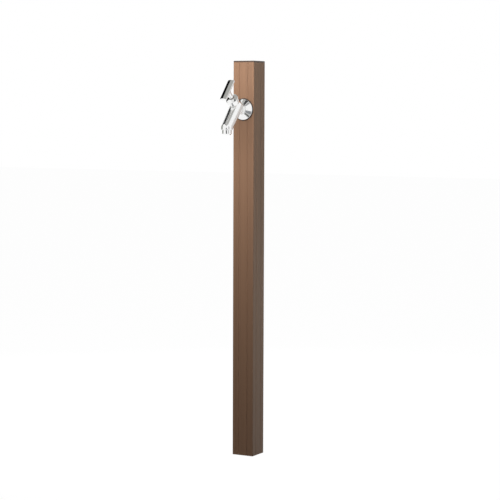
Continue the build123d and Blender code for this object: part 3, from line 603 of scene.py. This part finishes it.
chrome = finish(
    "polished_chrome", polish, {"Smears": 25.0, "Waves": 90.0},
    deep=CHROME_LIGHT, light=CHROME_DULL, smooth=0.03, rough=0.10, depth=0.00003, metallic=1.0,
)
bonnet = turned("bonnet_nut_turned", [
    (BOSS_RADIUS + BORE_FIT, BONNET_SKIRT, OUTER_EDGE),
    (BONNET_RADIUS, BONNET_SKIRT, BONNET_SKIRT_ROUND),
    (BONNET_RADIUS, BONNET_SHOULDER, BONNET_SHOULDER_ROUND),
    (BONNET_CONE_RADIUS, BONNET_CONE_TOP, BONNET_CONE_ROUND),
    (HEADWORK_NECK, BONNET_CONE_TOP, OUTER_EDGE),
    (HEADWORK_NECK, BONNET_CEILING, INNER_EDGE),
    (BOSS_RADIUS + BORE_FIT, BONNET_CEILING, INNER_EDGE),
], spindle)
fit(bonnet, "bonnet_nut", "column", chrome)

# Handle: a die-cast T, chromed. The crowned bar has rounded corners, and a round neck flares up to it
# lengthways. A square socket in the neck takes the spindle, and a grub screw in its back holds it there.
BAR_LENGTH = 0.075
BAR_WIDTH = 0.022
BAR_TOP = 0.0418
BAR_EDGE = 0.0390
BAR_UNDERSIDE = 0.0342
BAR_CORNER = 0.0045
BAR_CORNER_STEPS = 10
BAR_CORNER_ANGLE = radians(60)
BAR_ROUNDING = 0.0012
BAR_ROUNDING_STEPS = 6
BAR_ROUNDING_ANGLE = radians(40)
CROWN_STRIPS = 24
HUB_FOOT = 0.0062
HUB_RADIUS = 0.0066
HUB_WAIST = 0.019
HUB_FLARE_LENGTH = 0.030
HUB_FLARE_WIDTH = 0.014
FLARE_STEPS = 16
FLARE_POWER = 1.2
SOCKET_WIDTH = 0.00608
SOCKET_DEPTH = 0.0181
GRUB_HEIGHT = 0.012
GRUB_RADIUS = 0.002
GRUB_SIDES = 48
HANDLE_VOXEL = 0.0004
HANDLE_FILLET = 0.0030


def crown(across):
    """Height of the bar's crowned face at a distance from its middle line."""
    rise = BAR_TOP - BAR_EDGE
    arc = ((BAR_WIDTH / 2) ** 2 + rise ** 2) / (2 * rise)
    return BAR_TOP - arc + sqrt(arc ** 2 - across ** 2)


bpy.ops.object.select_all(action="DESELECT")
bpy.ops.mesh.primitive_cube_add(size=1, location=(0, 0, (BAR_UNDERSIDE + BAR_EDGE) / 2))
bar = bpy.context.object
bar.scale = (BAR_WIDTH, BAR_LENGTH, BAR_EDGE - BAR_UNDERSIDE)
bpy.ops.object.transform_apply(location=True, rotation=False, scale=True)
bpy.ops.object.mode_set(mode="EDIT")
for strip in range(1, CROWN_STRIPS):
    across = BAR_WIDTH * (strip / CROWN_STRIPS - 0.5)
    bpy.ops.mesh.select_all(action="SELECT")
    bpy.ops.mesh.bisect(plane_co=(across, 0, 0), plane_no=(1, 0, 0))
bpy.ops.object.mode_set(mode="OBJECT")
for vertex in bar.data.vertices:
    if vertex.co.z > BAR_EDGE - SMALL_STEP:
        vertex.co.z = crown(vertex.co.x)
for name, width, steps, angle in (
    ("corners", BAR_CORNER, BAR_CORNER_STEPS, BAR_CORNER_ANGLE),
    ("rounding", BAR_ROUNDING, BAR_ROUNDING_STEPS, BAR_ROUNDING_ANGLE),
):
    bevel = bar.modifiers.new(name, "BEVEL")
    bevel.width = width
    bevel.segments = steps
    bevel.limit_method = "ANGLE"
    bevel.angle_limit = angle
    bpy.ops.object.modifier_apply(modifier=bevel.name)
stand(bar, spindle)

neck = rod(HUB_RADIUS, HUB_FOOT, HUB_WAIST, Matrix.Identity(4))
bpy.ops.object.mode_set(mode="EDIT")
bpy.ops.mesh.select_mode(type="FACE")
bpy.ops.mesh.select_all(action="DESELECT")
bpy.ops.object.mode_set(mode="OBJECT")
for face in neck.data.polygons:
    face.select = face.center.z > HUB_WAIST - SMALL_STEP
bpy.ops.object.mode_set(mode="EDIT")
wide, long, level = HUB_RADIUS, HUB_RADIUS, HUB_WAIST
for step in range(1, FLARE_STEPS + 1):
    share = (1 - cos(step / FLARE_STEPS * pi / 2)) ** FLARE_POWER
    next_wide = HUB_RADIUS + share * (HUB_FLARE_WIDTH / 2 - HUB_RADIUS)
    next_long = HUB_RADIUS + share * (HUB_FLARE_LENGTH / 2 - HUB_RADIUS)
    next_level = HUB_WAIST + step / FLARE_STEPS * (BAR_UNDERSIDE + BAR_ROUNDING - HUB_WAIST)
    bpy.ops.mesh.extrude_region_move(TRANSFORM_OT_translate={"value": (0, 0, next_level - level)})
    bpy.ops.transform.resize(
        value=(next_wide / wide, next_long / long, 1), center_override=(0, 0, next_level)
    )
    wide, long, level = next_wide, next_long, next_level
bpy.ops.object.mode_set(mode="OBJECT")
stand(neck, spindle)

handle = cast("handle_bar_cast", [bar, neck], HANDLE_VOXEL, HANDLE_FILLET)
bpy.ops.object.select_all(action="DESELECT")
bpy.ops.mesh.primitive_cube_add(size=1, location=(0, 0, SOCKET_DEPTH / 2 + HUB_FOOT / 2 - SMALL_STEP))
socket = bpy.context.object
socket.scale = (SOCKET_WIDTH, SOCKET_WIDTH, SOCKET_DEPTH - HUB_FOOT + 2 * SMALL_STEP)
bpy.ops.object.transform_apply(location=True, rotation=False, scale=True)
stand(socket, spindle)
cut(handle, socket, "DIFFERENCE")
grub_axis = seat(spindle @ Vector((0, 0, GRUB_HEIGHT)), spindle.to_3x3() @ Vector((0, 1, 0)))
grub_hole = rod(GRUB_RADIUS, SOCKET_WIDTH / 2 - SMALL_STEP, 2 * HUB_RADIUS, grub_axis, GRUB_SIDES)
cut(handle, grub_hole, "DIFFERENCE")
settle(handle, Matrix.Identity(4))
fit(handle, "handle_bar", "handle", chrome)
dress("handle_set_screw", stainless)

# Outlet: a turned brass collar, chromed, screws onto the nipple. Its lip holds a moulded flow straightener
# with a rubber washer on top.
COLLAR_RADIUS = 0.0143
COLLAR_FOOT = 0.9790
COLLAR_BEVEL_WIDTH = 0.0036
COLLAR_BEVEL_HEIGHT = 0.0034
COLLAR_BEVEL_ROUND = 0.0022
COLLAR_TOP_ROUND = 0.0006
COLLAR_LIP = 0.003
COLLAR_MOUTH = 0.0102
COLLAR_MOUTH_EDGE = 0.0001
COLLAR_FIT = 0.00005

collar = turned("outlet_collar_turned", [
    (COLLAR_MOUTH, COLLAR_FOOT, COLLAR_MOUTH_EDGE),
    (COLLAR_RADIUS - COLLAR_BEVEL_WIDTH, COLLAR_FOOT, OUTER_EDGE),
    (COLLAR_RADIUS, COLLAR_FOOT + COLLAR_BEVEL_HEIGHT, COLLAR_BEVEL_ROUND),
    (COLLAR_RADIUS, END_LEVEL, COLLAR_TOP_ROUND),
    (NIPPLE_RADIUS + COLLAR_FIT, END_LEVEL, INNER_EDGE),
    (NIPPLE_RADIUS + COLLAR_FIT, COLLAR_FOOT + COLLAR_LIP, INNER_EDGE),
    (COLLAR_MOUTH, COLLAR_FOOT + COLLAR_LIP, INNER_EDGE),
], outlet)
fit(collar, "outlet_collar", "column", chrome)
dress("flow_straightener", black_plastic)
dress("outlet_washer", black_rubber)

# Studio floor and surround: white paper under the object and white all round it. The eye and the polished
# metal see them white, but they light the object only faintly.
WHITE = (1, 1, 1, 1)
FLOOR_OWN = (0.15, 0.15, 0.15, 1)
FLOOR_GLOW = 0.98
FLOOR_SIZE = 40
FLOOR_LEVEL = -0.001
SURROUND_LEVEL = 0.03


def bare_nodes(owner):
    """Nodes and links of a material or world, emptied for its own."""
    owner.use_nodes = True
    owner.node_tree.nodes.clear()
    return owner.node_tree.nodes, owner.node_tree.links


def seen_by_eye(nodes, links):
    """Value that is one for rays from the camera and for rays mirrored or passed on by the object."""
    rays = nodes.new("ShaderNodeLightPath")
    mirrored = nodes.new("ShaderNodeMath")
    mirrored.operation = "MAXIMUM"
    seen = nodes.new("ShaderNodeMath")
    seen.operation = "MAXIMUM"
    links.new(rays.outputs["Is Camera Ray"], mirrored.inputs[0])
    links.new(rays.outputs["Is Glossy Ray"], mirrored.inputs[1])
    links.new(mirrored.outputs["Value"], seen.inputs[0])
    links.new(rays.outputs["Is Transmission Ray"], seen.inputs[1])
    return seen.outputs["Value"]


floor_paper = bpy.data.materials.new("floor_paper")
nodes, links = bare_nodes(floor_paper)
paper = nodes.new("ShaderNodeBsdfDiffuse")
paper.inputs["Color"].default_value = FLOOR_OWN
glow = nodes.new("ShaderNodeEmission")
glow.inputs["Color"].default_value = WHITE
strength = nodes.new("ShaderNodeMath")
strength.operation = "MULTIPLY"
strength.inputs[1].default_value = FLOOR_GLOW
links.new(seen_by_eye(nodes, links), strength.inputs[0])
links.new(strength.outputs["Value"], glow.inputs["Strength"])
added = nodes.new("ShaderNodeAddShader")
links.new(paper.outputs["BSDF"], added.inputs[0])
links.new(glow.outputs["Emission"], added.inputs[1])
links.new(added.outputs["Shader"], nodes.new("ShaderNodeOutputMaterial").inputs["Surface"])

bpy.ops.object.select_all(action="DESELECT")
bpy.ops.mesh.primitive_plane_add(size=FLOOR_SIZE, location=(0, 0, FLOOR_LEVEL))
floor = bpy.context.object
floor.name = "floor"
floor.data.materials.append(floor_paper)

world = bpy.data.worlds.new("studio")
bpy.context.scene.world = world
nodes, links = bare_nodes(world)
surround = nodes.new("ShaderNodeBackground")
surround.inputs["Color"].default_value = WHITE
surround.inputs["Strength"].default_value = SURROUND_LEVEL
backdrop = nodes.new("ShaderNodeBackground")
backdrop.inputs["Color"].default_value = WHITE
mix = nodes.new("ShaderNodeMixShader")
links.new(seen_by_eye(nodes, links), mix.inputs["Fac"])
links.new(surround.outputs["Background"], mix.inputs[1])
links.new(backdrop.outputs["Background"], mix.inputs[2])
links.new(mix.outputs["Shader"], nodes.new("ShaderNodeOutputWorld").inputs["Surface"])

# Cards: black, grey and pale cards stand round the tap, as on a photographer's table, and show only in what
# mirrors them. Each has a name, its azimuth from +Y towards +X, its elevation, its width and height in
# degrees, and its tone.
TAP_MIDDLE = Vector((0, -0.09, 1.045))
CARD_DISTANCE = 1.3
CARDS = (
    ("card_left_high", -86, 44, 32, 38, (0.004, 0.004, 0.004, 1)),
    ("card_left", -92, 2, 56, 44, (0.24, 0.25, 0.22, 1)),
    ("card_overhead", 90, 90, 58, 58, (0.42, 0.42, 0.40, 1)),
    ("card_front_high", -179, 53, 19, 21, (0.05, 0.05, 0.05, 1)),
    ("card_front_corner", 160, 41, 13, 15, (0.26, 0.26, 0.26, 1)),
    ("card_front_low", 167, -44, 22, 22, (0.12, 0.12, 0.11, 1)),
    ("card_front_right_low", 147, -24, 28, 24, (0.27, 0.28, 0.29, 1)),
    ("card_outlet", 163, -8, 26, 11, (0.05, 0.05, 0.05, 1)),
    ("card_right", 113, 0, 18, 34, (0.42, 0.42, 0.42, 1)),
    ("card_back_right", 30, 3, 56, 40, (0.64, 0.60, 0.58, 1)),
    ("card_back_left", -20, 10, 40, 70, (0.25, 0.25, 0.25, 1)),
)


def hang_card(name, azimuth, elevation, width, height, tone):
    """Card that faces the tap from a direction and shows only in what mirrors it."""
    level = cos(radians(elevation))
    towards = Vector((
        sin(radians(azimuth)) * level, cos(radians(azimuth)) * level, sin(radians(elevation)),
    ))
    material = bpy.data.materials.new(name)
    nodes, links = bare_nodes(material)
    face = nodes.new("ShaderNodeEmission")
    face.inputs["Color"].default_value = tone
    links.new(face.outputs["Emission"], nodes.new("ShaderNodeOutputMaterial").inputs["Surface"])
    bpy.ops.object.select_all(action="DESELECT")
    bpy.ops.mesh.primitive_plane_add(size=2, location=TAP_MIDDLE + towards * CARD_DISTANCE)
    panel = bpy.context.object
    panel.name = name
    panel.rotation_euler = towards.to_track_quat("Z", "Y").to_euler()
    panel.scale = (
        CARD_DISTANCE * tan(radians(width / 2)), CARD_DISTANCE * tan(radians(height / 2)), 1,
    )
    panel.data.materials.append(material)
    panel.visible_camera = False
    panel.visible_diffuse = False
    panel.visible_shadow = False


for card in CARDS:
    hang_card(*card)

# Lamps: a broad soft lamp high in front lights the post from the top down, two small cool ones light its
# right face, and one behind fills the back.
LAMP_WHITE = (1, 1, 1)
LAMP_COOL = (0.78, 1, 1.16)


def soft_lamp(name, place, target, width, height, power, colour):
    """Soft lamp that faces its target and stays out of what the polished faces mirror."""
    data = bpy.data.lights.new(name, "AREA")
    data.shape = "RECTANGLE"
    data.size = width
    data.size_y = height
    data.energy = power
    data.color = colour
    lamp = bpy.data.objects.new(name, data)
    bpy.context.scene.collection.objects.link(lamp)
    lamp.location = place
    lamp.rotation_euler = (Vector(target) - Vector(place)).to_track_quat("-Z", "Y").to_euler()
    lamp.visible_glossy = False


soft_lamp(
    "key", place=(-0.25, -0.86, 1.56), target=(-0.25, 0, 1.56),
    width=2.0, height=0.9, power=16.6, colour=LAMP_WHITE,
)
soft_lamp(
    "fill_right", place=(0.95, -0.05, 1.5), target=(0, -0.05, 1.5),
    width=0.5, height=0.5, power=1.7, colour=LAMP_COOL,
)
soft_lamp(
    "fill_right_low", place=(0.735, -0.05, 0.5), target=(0, -0.05, 0.5),
    width=0.5, height=0.5, power=0.74, colour=LAMP_COOL,
)
soft_lamp(
    "fill_back", place=(-1.2, 1.5, 1.4), target=(0, 0, 0.8),
    width=0.8, height=0.8, power=11, colour=LAMP_WHITE,
)

bpy.context.scene.view_settings.view_transform = "Standard"
